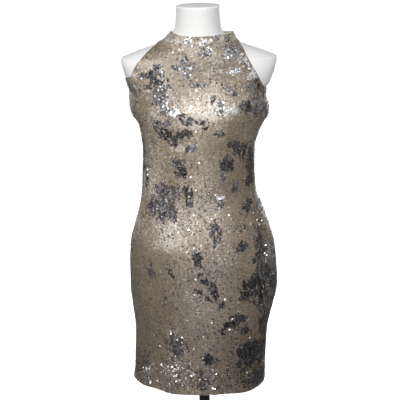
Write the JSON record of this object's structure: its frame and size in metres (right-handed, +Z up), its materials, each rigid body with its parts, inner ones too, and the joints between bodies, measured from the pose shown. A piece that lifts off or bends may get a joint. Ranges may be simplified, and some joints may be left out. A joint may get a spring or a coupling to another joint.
{
  "type": "sequinned cocktail dress on a limbless dress form",
  "caption": "Sleeveless halter-neck sheath dress covered in flip sequins, shown on a white limbless dress form with a pole and a round base.",
  "frame": {"origin": "on the floor, under the middle of the stand's base and of the form's width", "axes": "+Z up, the dress faces -Y, and +X is its wearer's left, which is on a viewer's right"},
  "size_m": [0.386, 0.32, 1.3],
  "materials": {
    "sequinned_cloth": "champagne sequins with gunmetal undersides on stretch mesh",
    "facing_cloth": "matt pale satin",
    "zip_metal": "bright nickel",
    "form_shell": "satin white moulded shell",
    "stand_steel": "satin black powder coat"
  },
  "bodies": {
    "root": {"dress_front": "sequinned_cloth", "dress_back_left": "sequinned_cloth", "dress_back_right": "sequinned_cloth", "neckband": "sequinned_cloth", "neckband_facing": "facing_cloth", "zip_slider": "zip_metal", "form_torso": "form_shell", "stand_flange": "stand_steel", "stand_pole": "stand_steel", "stand_base": "stand_steel"},
    "pull": {"zip_pull": "zip_metal"}
  },
  "joints": [
    {"name": "zip_pull_hinge", "type": "hinge", "parent": "root", "child": "pull", "pos_m": [0, 0.08578, 1.22863], "axis": [1, 0, 0], "range_deg": [0, 170]}
  ]
}
